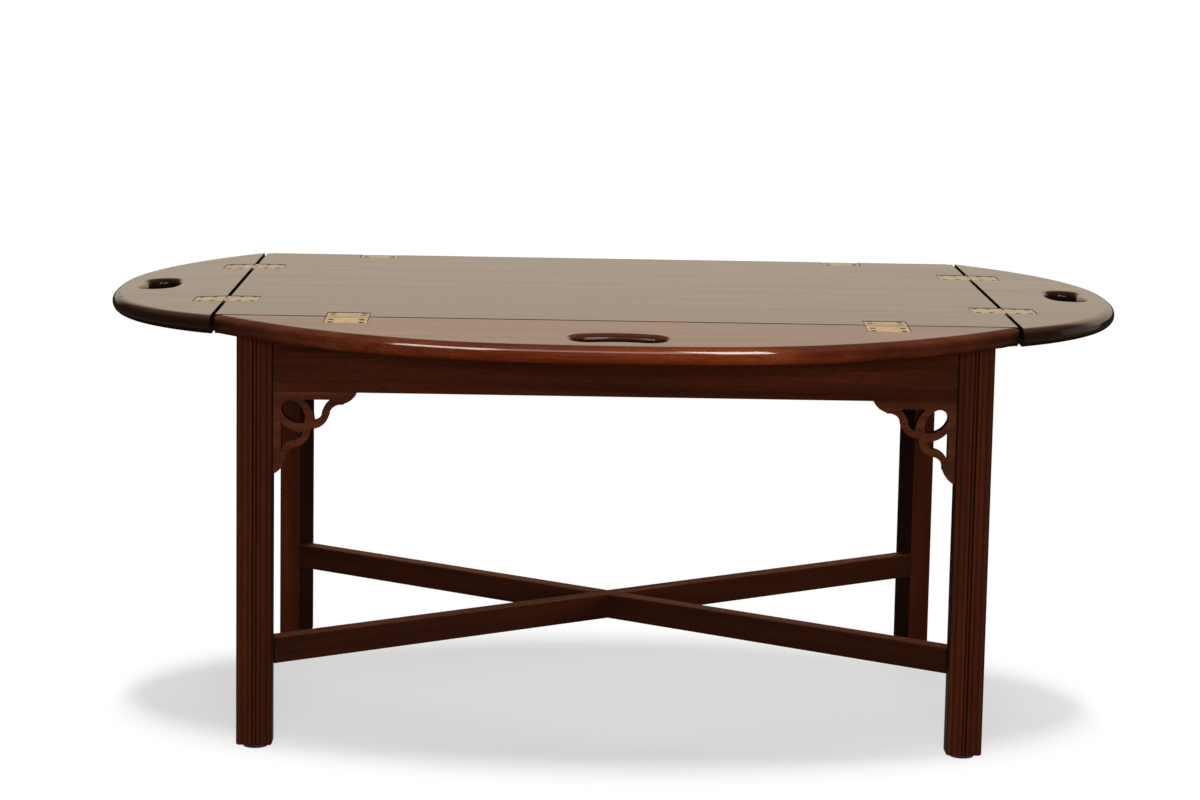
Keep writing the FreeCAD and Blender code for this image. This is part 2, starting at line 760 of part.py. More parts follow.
def leaf_seat(name, frame):
    """Cutters for a leaf's recess and its screws' pilot holes, in the wood that carries it."""
    recess = box(
        name + "_recess",
        d.hinge_width + 2 * d.leaf_clearance,
        d.leaf_length + d.leaf_clearance - SEAM_HALF + d.overrun,
        d.pin_depth - LEAF_BOTTOM + d.overrun,
    )
    put_in(frame, recess, -d.hinge_width / 2 - d.leaf_clearance, SEAM_HALF - d.overrun, LEAF_BOTTOM)
    tools = [recess]
    for x, y in SCREW_PLACES:
        depth = SCREW_LENGTH + d.screw_clearance
        pilot = cylinder(name + "_pilot", d.screw_shank_radius + d.screw_clearance, depth)
        tools.append(put_in(frame, pilot, x, y, LEAF_TOP - depth))
    return tools


def spring_strip(name, frame, spare):
    """A flat detent spring under a panel leaf, or its slot when it is given a spare width all round."""
    start = LEAF_SETBACK + d.spring_inset
    length = d.leaf_length - d.spring_margin - start
    strip = box(name, d.spring_width + 2 * spare, length + 2 * spare, d.spring_thickness + 2 * spare)
    low = LEAF_BOTTOM - d.spring_thickness - spare
    return put_in(frame, strip, -d.spring_width / 2 - spare, start - spare, low)


# Flaps. Each is drawn in its seam's own axes: the length of the board, half the span of its arch, and the
# radius and half width of the crown arc.

FLAPS = {
    "side": (
        d.panel_length,
        d.panel_length / 2 + d.side_flare,
        d.side_crown_radius,
        d.side_crown_half,
    ),
    "end": (
        d.panel_width + 2 * d.end_overhang,
        d.panel_width / 2 + d.end_overhang + d.end_flare,
        d.end_crown_radius,
        d.end_crown_half,
    ),
}
RIM_ROUND = (d.tray_thickness - d.rim_flat) / 2
HOLE_ROUND = (d.tray_thickness - d.hole_flat) / 2


def arch_sketch(body, half_span, crown_radius, crown_half):
    """A chord on the seam's centre line under a crown arc, which two shoulder arcs carry on to the ends."""
    crown = float(crown_radius)
    centre = Vector(0, float(d.flap_reach) - crown, 0)
    join = Vector(float(crown_half), centre.y + math.sqrt(crown**2 - float(crown_half) ** 2), 0)
    outward = (join - centre) / crown
    end = Vector(float(half_span), 0, 0)
    chord = end - join
    shoulder = -chord.dot(chord) / (2 * chord.dot(outward))
    shoulder_centre = join - outward * shoulder
    mirrored_centre = Vector(-shoulder_centre.x, shoulder_centre.y, 0)
    high = math.atan2(outward.y, outward.x)
    low = math.atan2(end.y - shoulder_centre.y, end.x - shoulder_centre.x)
    arcs = [
        (shoulder_centre, shoulder, low, high),
        (centre, crown, high, math.pi - high),
        (mirrored_centre, shoulder, math.pi - high, math.pi - low),
    ]
    sketch = level_sketch(body, body.Name + "_outline", FLAP_BOTTOM)
    sketch.addGeometry(Part.LineSegment(-end, end))
    for middle, radius, start, stop in arcs:
        sketch.addGeometry(Part.ArcOfCircle(Part.Circle(middle, UP, radius), start, stop))
    constrain(
        sketch,
        [
            ("PointOnObject", 0, 1, -1),
            ("Symmetric", 0, 1, 0, 2, -2),
            ("Coincident", 0, 2, 1, 1),
            ("Coincident", 3, 2, 0, 1),
            ("Tangent", 1, 2, 2, 1),
            ("Tangent", 2, 2, 3, 1),
            ("PointOnObject", 2, 3, -2),
        ],
    )
    hold(sketch, "span", 2 * half_span, "DistanceX", 0, 1, 0, 2)
    hold(sketch, "crown", crown_radius, "Radius", 2)
    hold(sketch, "drop", crown_radius - d.flap_reach, "DistanceY", 2, 3, -1, 1)
    hold(sketch, "right_join", crown_half, "DistanceX", -1, 1, 1, 2)
    hold(sketch, "left_join", crown_half, "DistanceX", 3, 1, -1, 1)
    return sketch


def hand_hole_sketch(body):
    """A slot bent about a point beyond the rim: two arcs about that point and two round ends."""
    bend, width = float(d.hole_bend), float(d.hole_width)
    end_place = (d.hole_length - d.hole_width) / 2
    side = float(end_place)
    middle = Vector(0, float(d.hole_centre + d.hole_bend), 0)
    sweep = math.asin(side / bend)
    down = 1.5 * math.pi
    right = middle + Vector(side, -bend * math.cos(sweep), 0)
    left = Vector(-right.x, right.y, 0)
    arcs = [
        (middle, bend + width / 2, down - sweep, down + sweep),
        (right, width / 2, down + sweep, down + sweep + math.pi),
        (middle, bend - width / 2, down - sweep, down + sweep),
        (left, width / 2, down - sweep + math.pi, down - sweep + 2 * math.pi),
    ]
    sketch = level_sketch(body, body.Name + "_hole", d.pin_depth)
    for centre, radius, start, stop in arcs:
        sketch.addGeometry(Part.ArcOfCircle(Part.Circle(centre, UP, radius), start, stop))
    constrain(
        sketch,
        [
            ("Coincident", 0, 3, 2, 3),
            ("PointOnObject", 0, 3, -2),
            ("Tangent", 0, 2, 1, 1),
            ("Tangent", 1, 2, 2, 2),
            ("Tangent", 2, 1, 3, 1),
            ("Tangent", 3, 2, 0, 1),
        ],
    )
    hold(sketch, "height", d.hole_centre + d.hole_bend, "DistanceY", -1, 1, 0, 3)
    hold(sketch, "far_arc", d.hole_bend + d.hole_width / 2, "Radius", 0)
    hold(sketch, "near_arc", d.hole_bend - d.hole_width / 2, "Radius", 2)
    hold(sketch, "right_end", end_place, "DistanceX", -1, 1, 1, 3)
    hold(sketch, "left_end", end_place, "DistanceX", 3, 3, -1, 1)
    return sketch


def flap_blank(name, half_span, crown_radius, crown_half):
    """A round-rimmed board under the full arch, pierced by its rounded hand hole."""
    body = doc.addObject("PartDesign::Body", name + "_blank")
    board = pad(body, arch_sketch(body, half_span, crown_radius, crown_half), d.tray_thickness)
    levels = (float(d.pin_depth), float(FLAP_BOTTOM))

    def level(edge):
        return edge.BoundBox.ZLength < TINY and min(abs(edge.BoundBox.ZMin - z) for z in levels) < TINY

    def rim(edge):
        return level(edge) and edge.BoundBox.YMax > TINY

    board = dress(body, "Fillet", "Radius", RIM_ROUND, board, rim)
    uncut_volume = board.Shape.Volume
    pocket = body.newObject("PartDesign::Pocket", name + "_hole_pocket")
    pocket.Profile = hand_hole_sketch(body)
    pocket.Type = "ThroughAll"
    doc.recompute()
    if pocket.Shape.Volume > uncut_volume - TINY:
        raise RuntimeError(f"the hand hole of {name} cuts nothing")
    half_hole = float(d.hole_length / 2 + d.overrun)
    near_hole = float(d.hole_centre - d.hole_width)

    def hole_lip(edge):
        span = edge.BoundBox
        return level(edge) and max(-span.XMin, span.XMax) < half_hole and span.YMin > near_hole

    dress(body, "Fillet", "Radius", HOLE_ROUND, pocket, hole_lip)
    return body


def flap(side):
    """The arch cut off at the seam's edge and at both ends, with seats for its two leaves."""
    kind = SEAMS[side][3]
    name = side + "_flap"
    length, half_span, crown_radius, crown_half = FLAPS[kind]
    field = box(name + "_field", length, d.flap_reach + d.overrun, d.tray_thickness + 2 * d.overrun)
    put(field, -length / 2, SEAM_HALF, FLAP_BOTTOM - d.overrun)
    board = doc.addObject("Part::Common", name + "_board")
    board.Base = flap_blank(name, half_span, crown_radius, crown_half)
    board.Tool = field
    half = HINGE_HALF[kind]
    tools = leaf_seat(name, spot(-half, 0, 0)) + leaf_seat(name, spot(half, 0, 0))
    return cut(name + "_seated", board, tools)


for side in SEAMS:
    board = piece(flap(side), "flap_" + side)
    board.Placement = flap_frame(side)
    for end, (on_flap, on_panel) in hinge_frames(side).items():
        flap_leaf = leaf(f"{side}_flap_leaf_{end}", outer_knuckles=False)
        flap_leaf.Placement = on_flap
        piece(flap_leaf, f"flap_leaf_{side}_{end}")
        panel_leaf = leaf(f"{side}_panel_leaf_{end}", outer_knuckles=True)
        panel_leaf.Placement = on_panel
        piece(panel_leaf, f"panel_leaf_{side}_{end}")


# Tray panel, with seats for its leaves and springs, and pilot holes for the battens' screws.

panel_size = (d.panel_length, d.panel_width, d.tray_thickness)
panel_body, panel_board = rectangle_body("panel_blank", *panel_size, True)
panel_top = float(d.tray_thickness) - TINY
dress(panel_body, "Chamfer", "Size", d.panel_ease, panel_board, lambda edge: edge.BoundBox.ZMin > panel_top)
bind(panel_body, "Placement.Base.z", PANEL_BOTTOM)
panel_tools = []
pins = []
springs = []
for side in SEAMS:
    for _, on_panel in hinge_frames(side).values():
        panel_tools += leaf_seat("panel_" + side, on_panel)
        panel_tools.append(spring_strip("spring_slot", on_panel, d.spring_clearance))
        springs.append(spring_strip("hinge_spring", on_panel, sized(0)))
        pin = cylinder("hinge_pin", d.pin_radius, d.hinge_width)
        pins.append(put_in(on_panel, pin, -d.hinge_width / 2, 0, 0, ALONG_X))
doc.recompute()
for side, (_, _, _, length) in BATTENS.items():
    for along in batten_screw_places(length):
        pilot = cylinder("batten_pilot", d.screw_shank_radius + d.screw_clearance, BATTEN_SCREW_LENGTH)
        frame = pieces["batten_" + side].Placement
        pilot_start = d.screw_clearance - d.batten_depth
        panel_tools.append(put_in(frame, pilot, along, d.batten_width / 2, pilot_start))
piece(cut("panel_seated", panel_body, panel_tools), "tray_panel")
piece(group("hinge_pin_group", pins), "hinge_pins")
piece(group("hinge_spring_group", springs), "hinge_springs")


# Screws, in groups of one solid each.

def screw_shape(length):
    """A countersunk screw that hangs down from the origin, slotted across its head."""
    head_radius, shank_radius = float(d.screw_head_radius), float(d.screw_shank_radius)
    depth = float(d.screw_head_depth)
    head = Part.makeCone(shank_radius, head_radius, depth, Vector(0, 0, -depth))
    shank = Part.makeCylinder(shank_radius, float(length) - depth, Vector(0, 0, -float(length)))
    slot_width, slot_depth = float(d.screw_slot_width), float(d.screw_slot_depth)
    corner = Vector(-head_radius, -slot_width / 2, -slot_depth)
    slot = Part.makeBox(2 * head_radius, slot_width, slot_depth + depth, corner)
    return head.fuse(shank).removeSplitter().cut(slot)


def screw_group(label, length, places):
    """One solid for each place of a screw's head."""
    blank = screw_shape(length)
    solids = []
    for place in places:
        solid = blank.copy()
        solid.Placement = place
        solids.append(solid)
    feature = doc.addObject("Part::Feature", label + "_group")
    feature.Shape = Part.makeCompound(solids)
    return piece(feature, label)


def leaf_screws(frame):
    """Places of a leaf's four screws, heads flush in their countersinks."""
    return [frame * spot(x, y, LEAF_TOP, turned(turn)) for (x, y), turn in zip(SCREW_PLACES, SLOT_TURNS)]


panel_screws = []
for side in SEAMS:
    flap_screws = []
    for on_flap, on_panel in hinge_frames(side).values():
        flap_screws += leaf_screws(on_flap)
        panel_screws += leaf_screws(on_panel)
    screw_group("flap_leaf_screws_" + side, SCREW_LENGTH, flap_screws)
screw_group("panel_leaf_screws", SCREW_LENGTH, panel_screws)

batten_screws = []
for side, (_, _, _, length) in BATTENS.items():
    for along in batten_screw_places(length):
        head = spot(along, d.batten_width / 2, -d.batten_depth, lain(180))
        batten_screws.append(pieces["batten_" + side].Placement * head)
screw_group("batten_screws", BATTEN_SCREW_LENGTH, batten_screws)

block_screws = []
head_place = BLOCK_SCREW_SEAT + d.screw_head_depth
for corner in CORNERS:
    frame = pieces["corner_block_" + corner].Placement
    block_screws.append(frame * spot(BLOCK_SCREW_PLACE, head_place, d.block_height / 2, lain(-90)))
    block_screws.append(frame * spot(head_place, BLOCK_SCREW_PLACE, d.block_height / 2, ALONG_X))
screw_group("corner_block_screws", head_place + d.block_screw_bite, block_screws)


# Glides: a flange and a tapered sole under each leg, with a nail up into it.

SOLE_HEIGHT = d.glide_height - d.glide_flange
glides = []
for corner, (sign_x, sign_y, _) in CORNERS.items():
    sole = cone("glide_sole", d.glide_sole_radius, d.glide_radius, SOLE_HEIGHT)
    flange = put(cylinder("glide_disc", d.glide_radius, d.glide_flange), 0, 0, SOLE_HEIGHT)
    nail = put(cylinder("glide_nail", d.nail_radius, d.nail_length), 0, 0, d.glide_height)
    glide = fuse("glide_" + corner, [sole, flange, nail])
    middle_x = (HALF_X - d.leg_width / 2) * sign_x
    middle_y = (HALF_Y - d.leg_width / 2) * sign_y
    glides.append(put(glide, middle_x, middle_y, 0))
piece(group("glide_group", glides), "foot_glides")


# Tests of the finished document, then one file for each sub-part.

doc.recompute()
for item in doc.Objects:
    if "Invalid" in item.State or "Error" in item.State:
        raise RuntimeError(f"{item.Label} did not build: {item.State}")
for label, item in pieces.items():
    if item.Shape.isNull() or not item.Shape.isValid():
        raise RuntimeError(f"{label} has no valid shape")
os.makedirs("parts", exist_ok=True)
for label, item in pieces.items():
    item.Shape.exportStep(f"parts/{label}.step")
print(len(pieces), "sub-parts written")
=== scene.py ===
import math

import bpy
import numpy as np
from mathutils import Matrix, Vector


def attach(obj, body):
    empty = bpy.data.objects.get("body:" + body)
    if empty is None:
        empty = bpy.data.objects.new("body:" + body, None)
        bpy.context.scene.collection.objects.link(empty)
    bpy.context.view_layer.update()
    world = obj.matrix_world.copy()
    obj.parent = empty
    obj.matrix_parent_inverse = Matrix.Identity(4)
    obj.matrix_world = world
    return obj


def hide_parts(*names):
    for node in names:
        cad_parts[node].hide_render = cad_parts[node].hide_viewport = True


# A low oval butler's tray table in polished mahogany, seen from the front and a little above.

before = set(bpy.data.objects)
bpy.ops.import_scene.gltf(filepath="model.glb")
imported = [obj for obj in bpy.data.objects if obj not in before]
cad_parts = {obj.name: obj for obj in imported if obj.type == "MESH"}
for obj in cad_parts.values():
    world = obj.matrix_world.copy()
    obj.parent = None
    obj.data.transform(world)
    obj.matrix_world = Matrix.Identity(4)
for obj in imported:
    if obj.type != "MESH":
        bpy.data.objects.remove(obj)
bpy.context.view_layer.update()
scene = bpy.context.scene
scene.view_settings.view_transform = "Standard"

MM = 0.001


def shade(text):
    """An sRGB hex colour as linear RGBA."""
    srgb = np.array([int(text[i : i + 2], 16) for i in (1, 3, 5)]) / 255.0
    linear = np.where(srgb <= 0.04045, srgb / 12.92, ((srgb + 0.055) / 1.055) ** 2.4)
    return (*linear.tolist(), 1.0)


def add(tree, kind, inputs=None, stops=None, **settings):
    """Adds one node with its settings; an input is a value or another node's output."""
    made = tree.nodes.new(kind)
    for key, value in settings.items():
        setattr(made, key, value)
    for socket, value in (inputs or {}).items():
        if isinstance(value, bpy.types.NodeSocket):
            tree.links.new(value, made.inputs[socket])
        else:
            made.inputs[socket].default_value = value
    if stops:
        elements = made.color_ramp.elements
        while len(elements) < len(stops):
            elements.new(1.0)
        for element, (place, colour) in zip(elements, stops):
            element.position = place
            element.color = colour
    return made


def new_material(name):
    """A material, and its empty node tree."""
    material = bpy.data.materials.new(name)
    material.use_nodes = True
    material.node_tree.nodes.clear()
    return material, material.node_tree


def close(tree, surface):
    """Ends a material's tree in its surface."""
    add(tree, "ShaderNodeOutputMaterial", {"Surface": surface.outputs[0]})


# Wood. A grain runs along X of its own coordinates, which a turn carries to each piece's length.

# Length and width of the marks in the wood: ribbons of figure, fibres, which are the finest lines that
# show at this distance, and pores.
RIBBON, FIBRE, PORE = (420 * MM, 16 * MM), (60 * MM, 1.6 * MM), (9 * MM, 0.5 * MM)
# The figure wanders sideways in slow waves.
WAVE_LENGTH, WAVE_REACH = 400 * MM, 16 * MM
FIBRE_SHARE = 0.30
# The gloss follows the ribbons, and a hand hole is duller and keeps little of the polish.
GLOSS_SPREAD, HOLE_DULLING, HOLE_LOSS = 0.06, 0.06, 0.86


def mahogany(name, turn, seed, tones, end, stain_and_shade_sides, rough, specular, painted_level_shade=None, painted_moulding_shade=None, hollowed=False):
    """Mahogany, planed and polished: ribbons of figure some centimetres long, fine dark pores, an end grain
    that goes dark, and a polish that mirrors at a low angle. A board may have painted shade on its level
    faces, darker than its rounded edges, and the dark end colour as painted shade in its hand hole and, on
    some boards, along its rim. A moulded leg may have painted shade where its mouldings face between two
    sides."""
    material, tree = new_material(name)
    dark, mid, light = (shade(tone) for tone in tones)
    place = add(tree, "ShaderNodeTexCoord").outputs
    along = add(
        tree,
        "ShaderNodeMapping",
        {"Vector": place["Object"], "Rotation": turn, "Location": (seed, 2 * seed, 3 * seed)},
    ).outputs[0]
    wander = add(tree, "ShaderNodeTexNoise", {"Vector": along, "Scale": 1 / WAVE_LENGTH, "Detail": 1.0})
    bent = add(
        tree,
        "ShaderNodeVectorMath",
        {0: wander.outputs["Color"], 1: (0.0, WAVE_REACH, WAVE_REACH), 2: along},
        operation="MULTIPLY_ADD",
    )
    marks = []
    for (length, width), detail, roughness in ((RIBBON, 4.0, 0.6), (FIBRE, 2.0, 0.55), (PORE, 0.0, 0.5)):
        scale = (1 / length, 1 / width, 1 / width)
        stretch = add(tree, "ShaderNodeMapping", {"Vector": bent.outputs[0], "Scale": scale})
        mark = add(
            tree,
            "ShaderNodeTexNoise",
            {"Vector": stretch.outputs[0], "Scale": 1.0, "Detail": detail, "Roughness": roughness},
        )
        marks.append(mark.outputs["Fac"])
    ribbon, fibre, pore = marks
    mixed = add(tree, "ShaderNodeMath", {0: fibre, 1: FIBRE_SHARE, 2: ribbon}, operation="MULTIPLY_ADD")
    tone = add(
        tree,
        "ShaderNodeValToRGB",
        {"Fac": mixed.outputs[0]},
        stops=[(0.42, dark), (0.66, mid), (0.90, light)],
    )
    pore_mask = add(tree, "ShaderNodeMapRange", {"Value": pore, "From Min": 0.62, "From Max": 0.74})
    colour = add(
        tree,
        "ShaderNodeMix",
        {"Factor": pore_mask.outputs[0], 6: tone.outputs["Color"], 7: dark},
        data_type="RGBA",
    )
    facing = add(tree, "ShaderNodeSeparateXYZ", {0: place["Normal"]}).outputs
    # Painted shade: faces that lie level, top and underside, are darkened by a multiplied grey and read
    # darker than the rounded edges.
    if painted_level_shade:
        level = add(tree, "ShaderNodeMath", {0: facing["Z"]}, operation="ABSOLUTE")
        level_mask = add(
            tree,
            "ShaderNodeMapRange",
            {"Value": level.outputs[0], "From Min": 0.60, "From Max": 0.97},
        )
        colour = add(
            tree,
            "ShaderNodeMix",
            {"Factor": level_mask.outputs[0], 6: colour.outputs[2], 7: shade(painted_level_shade)},
            data_type="RGBA",
            blend_type="MULTIPLY",
        )
    # End grain goes dark where the surface faces along the grain; where a board's edge faces another way, the
    # same dark colour is painted shade.
    turned = add(
        tree,
        "ShaderNodeMapping",
        {"Vector": place["Normal"], "Rotation": turn, "Scale": stain_and_shade_sides},
        vector_type="VECTOR",
    )
    across = add(tree, "ShaderNodeVectorMath", {0: turned.outputs[0]}, operation="LENGTH")
    stain_and_shade = add(
        tree,
        "ShaderNodeMapRange",
        {"Value": across.outputs["Value"], "From Min": 0.05, "From Max": 0.65},
    )
    if painted_moulding_shade:
        # Mouldings: painted shade where the surface of an upright leg faces between two sides.
        slant = add(tree, "ShaderNodeMath", {0: facing["X"], 1: facing["Y"]}, operation="MULTIPLY")
        slanted = add(tree, "ShaderNodeMath", {0: slant.outputs[0]}, operation="ABSOLUTE")
        moulded = add(
            tree,
            "ShaderNodeMapRange",
            {"Value": slanted.outputs[0], "From Min": 0.10, "From Max": 0.40, "To Max": painted_moulding_shade},
        )
        stain_and_shade = add(tree, "ShaderNodeMath", {0: stain_and_shade.outputs[0], 1: moulded.outputs[0]}, operation="MAXIMUM")
    gloss = add(
        tree,
        "ShaderNodeMapRange",
        {
            "Value": ribbon,
            "From Min": 0.3,
            "From Max": 0.7,
            "To Min": rough + GLOSS_SPREAD,
            "To Max": rough - GLOSS_SPREAD,
        },
    )
    polish = specular
    if hollowed:
        # The wall of a flap's hand hole takes the dark end colour as painted shade in the hole, and is
        # duller. The polish also ends where the surface turns under.
        hollow = add(tree, "ShaderNodeAttribute", attribute_name="hollow").outputs["Fac"]
        stain_and_shade = add(tree, "ShaderNodeMath", {0: stain_and_shade.outputs[0], 1: hollow}, operation="MAXIMUM")
        gloss = add(
            tree,
            "ShaderNodeMath",
            {0: hollow, 1: HOLE_DULLING, 2: gloss.outputs[0]},
            operation="MULTIPLY_ADD",
        )
        turned_up = add(
            tree,
            "ShaderNodeMapRange",
            {"Value": facing["Z"], "From Min": -0.5, "From Max": -0.1, "To Max": specular},
        )
        kept = add(tree, "ShaderNodeMath", {0: hollow, 1: -HOLE_LOSS, 2: 1.0}, operation="MULTIPLY_ADD")
        polish = add(
            tree,
            "ShaderNodeMath",
            {0: turned_up.outputs[0], 1: kept.outputs[0]},
            operation="MULTIPLY",
        ).outputs[0]
    # The dark end colour mixed in: end grain, and painted shade on rims, mouldings and hand holes.
    stained_and_shaded = add(
        tree,
        "ShaderNodeMix",
        {"Factor": stain_and_shade.outputs[0], 6: colour.outputs[2], 7: shade(end)},
        data_type="RGBA",
    )
    surface = add(
        tree,
        "ShaderNodeBsdfPrincipled",
        {
            "Base Color": stained_and_shaded.outputs[2],
            "Roughness": gloss.outputs[0],
            "IOR": 1.5,
            "Specular IOR Level": polish,
        },
    )
    close(tree, surface)
    return material


QUARTER = math.pi / 2
# How far the stretchers' ends lie from the middle of the table, and so their turn.
STRETCHER_END_X, STRETCHER_END_Y = 358.0 * MM, 251.5 * MM
STRETCHER_TURN = math.atan2(STRETCHER_END_Y, STRETCHER_END_X)
ALONG_X = (0.0, 0.0, 0.0)
ALONG_Y = (0.0, 0.0, -QUARTER)
UPRIGHT = (0.0, QUARTER, 0.0)
ALONG_OVER = (0.0, 0.0, -STRETCHER_TURN)
ALONG_UNDER = (0.0, 0.0, STRETCHER_TURN)

# The faces that take the dark end colour: those across the grain, which are end grain, or all round a board's
# edge, where the faces along the grain get it as painted shade.
GRAIN_ONLY, END_GRAIN_AND_RIM_SHADE = (1.0, 0.0, 0.0), (1.0, 1.0, 0.0)
# A board's level faces are darkened as painted shade by the grey multiplied in below.
BOARD = dict(
    tones=("#471a0b", "#6a2a12", "#86401d"), painted_level_shade="#bcbcbc", hollowed=True, rough=0.10, specular=0.5
)
SIDE_FLAP = dict(end="#22100a", stain_and_shade_sides=GRAIN_ONLY, **BOARD)
# On the panel and the end flaps the dark end colour runs all round the rim: end grain across the grain,
# painted shade along it.
PANEL = dict(end="#1d0e08", stain_and_shade_sides=END_GRAIN_AND_RIM_SHADE, **BOARD)
STAND = dict(end="#1a0b07", stain_and_shade_sides=GRAIN_ONLY, rough=0.58, specular=0.03)
# A leg's mouldings take up to this share of the dark end colour as painted shade.
LEG = dict(tones=("#34170d", "#421c0f", "#512311"), painted_moulding_shade=0.55, **STAND)
RAIL = dict(tones=("#24100a", "#38180d", "#4b2010"), **STAND)
FRET = dict(tones=("#2e170f", "#472315", "#5c2e1a"), **STAND)
# The stretchers' tones are lighter than the legs' as painted light, for the light their slanting faces miss.
LIT_STRETCHER = dict(tones=("#391a0a", "#5b2812", "#743519"), **STAND)

side_flap_wood = mahogany("polished_mahogany_side_flap", ALONG_X, 0.0, **SIDE_FLAP)
panel_wood = mahogany("polished_mahogany_panel", ALONG_X, 0.19, **PANEL)
stand_wood = {
    "rail_x": mahogany("polished_mahogany_rail_x", ALONG_X, 0.31, **RAIL),
    "rail_y": mahogany("polished_mahogany_rail_y", ALONG_Y, 0.57, **RAIL),
    "leg": mahogany("polished_mahogany_leg", UPRIGHT, 0.83, **LEG),
    "fret_x": mahogany("polished_mahogany_fret_x", ALONG_X, 0.43, **FRET),
    "fret_y": mahogany("polished_mahogany_fret_y", ALONG_Y, 0.71, **FRET),
    "over": mahogany("polished_mahogany_stretcher_over", ALONG_OVER, 1.13, **LIT_STRETCHER),
    "under": mahogany("polished_mahogany_stretcher_under", ALONG_UNDER, 1.37, **LIT_STRETCHER),
}

SAWN_GRAIN_LENGTH, SAWN_GRAIN_WIDTH, SAW_MARK = 90 * MM, 3 * MM, 2 * MM


def sawn_hardwood(name):
    """Unpolished hardwood, sawn: dull pale brown with a straight grain and saw marks."""
    material, tree = new_material(name)
    place = add(tree, "ShaderNodeTexCoord").outputs["Object"]
    scale = (1 / SAWN_GRAIN_LENGTH, 1 / SAWN_GRAIN_LENGTH, 1 / SAWN_GRAIN_WIDTH)
    stretch = add(tree, "ShaderNodeMapping", {"Vector": place, "Scale": scale})
    grain = add(tree, "ShaderNodeTexNoise", {"Vector": stretch.outputs[0], "Scale": 1.0, "Detail": 4.0})
    tone = add(
        tree,
        "ShaderNodeValToRGB",
        {"Fac": grain.outputs["Fac"]},
        stops=[(0.35, shade("#5b3a22")), (0.70, shade("#8a6440"))],
    )
    marks = add(tree, "ShaderNodeTexNoise", {"Vector": place, "Scale": 1 / SAW_MARK, "Detail": 1.0})
    bump = add(
        tree,
        "ShaderNodeBump",
        {"Height": marks.outputs["Fac"], "Strength": 0.4, "Distance": 0.4 * MM},
    )
    surface = add(
        tree,
        "ShaderNodeBsdfPrincipled",
        {"Base Color": tone.outputs["Color"], "Roughness": 0.75, "Normal": bump.outputs[0]},
    )
    close(tree, surface)
    return material


inner_wood = sawn_hardwood("sawn_hardwood")


# Metal and plastic.

PATCH, GRIT, PEBBLE = 9 * MM, 0.5 * MM, 0.8 * MM
GRIT_SHARE = 0.25


def worn_metal(name, bright, dull, rough):
    """Metal, rolled or turned and long in use: dull patches and fine rubbing marks, and old lacquer,
    plating or tarnish that scatters a part of the light."""
    material, tree = new_material(name)
    place = add(tree, "ShaderNodeTexCoord").outputs["Object"]
    patch = add(tree, "ShaderNodeTexNoise", {"Vector": place, "Scale": 1 / PATCH, "Detail": 4.0})
    grit = add(tree, "ShaderNodeTexNoise", {"Vector": place, "Scale": 1 / GRIT, "Detail": 2.0})
    wear = add(
        tree,
        "ShaderNodeMath",
        {0: grit.outputs["Fac"], 1: GRIT_SHARE, 2: patch.outputs["Fac"]},
        operation="MULTIPLY_ADD",
    )
    tone = add(
        tree,
        "ShaderNodeValToRGB",
        {"Fac": wear.outputs[0]},
        stops=[(0.45, shade(dull)), (0.72, shade(bright))],
    )
    gloss = add(
        tree,
        "ShaderNodeMapRange",
        {
            "Value": wear.outputs[0],
            "From Min": 0.4,
            "From Max": 0.8,
            "To Min": rough + 0.12,
            "To Max": rough - 0.06,
        },
    )
    bump = add(
        tree,
        "ShaderNodeBump",
        {"Height": grit.outputs["Fac"], "Strength": 0.03, "Distance": 0.2 * MM},
    )
    surface = add(
        tree,
        "ShaderNodeBsdfPrincipled",
        {
            "Base Color": tone.outputs["Color"],
            "Metallic": 0.72,
            "Roughness": gloss.outputs[0],
            "Normal": bump.outputs[0],
        },
    )
    close(tree, surface)
    return material


def moulded_plastic(name, dark, light):
    """Polypropylene, moulded: near black, dull, with a fine pebbled skin."""
    material, tree = new_material(name)
    place = add(tree, "ShaderNodeTexCoord").outputs["Object"]
    pebble = add(tree, "ShaderNodeTexNoise", {"Vector": place, "Scale": 1 / PEBBLE, "Detail": 2.0})
    tone = add(
        tree,
        "ShaderNodeValToRGB",
        {"Fac": pebble.outputs["Fac"]},
        stops=[(0.3, shade(dark)), (0.8, shade(light))],
    )
    bump = add(
        tree,
        "ShaderNodeBump",
        {"Height": pebble.outputs["Fac"], "Strength": 0.3, "Distance": 0.2 * MM},
    )
    surface = add(
        tree,
        "ShaderNodeBsdfPrincipled",
        {"Base Color": tone.outputs["Color"], "Roughness": 0.5, "Normal": bump.outputs[0]},
    )
    close(tree, surface)
    return material


hinge_brass = worn_metal("aged_brass_leaf", "#b79965", "#a38754", 0.18)
screw_brass = worn_metal("aged_brass_screw", "#5f4b2b", "#3a2c18", 0.55)
steel = worn_metal("blued_spring_steel", "#6d6f74", "#3f4146", 0.40)
zinc = worn_metal("zinc_plated_screw", "#a3a4a6", "#74757a", 0.38)
glide_plastic = moulded_plastic("moulded_polypropylene", "#170d08", "#33221a")


def finish_of(node):
    """The material of a CAD node, by its name."""
    if "screws" in node:
        return screw_brass if "leaf" in node else zinc
    if "leaf" in node or node == "hinge_pins":
        return hinge_brass
    if node == "hinge_springs":
        return steel
    if node == "foot_glides":
        return glide_plastic
    if node.startswith(("batten", "corner_block")):
        return inner_wood
    if node in ("flap_front", "flap_back"):
        return side_flap_wood
    if node.startswith(("flap", "tray")):
        return panel_wood
    if node.startswith("leg"):
        return stand_wood["leg"]
    if node.startswith("stretcher"):
        return stand_wood["over" if node.endswith("over") else "under"]
    if node.startswith("fret"):
        return stand_wood["fret_x" if node.startswith(("fret_front", "fret_back")) else "fret_y"]
    return stand_wood["rail_x" if node.endswith(("front", "back")) else "rail_y"]


for name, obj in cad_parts.items():
    obj.data.materials.clear()
    obj.data.materials.append(finish_of(name))


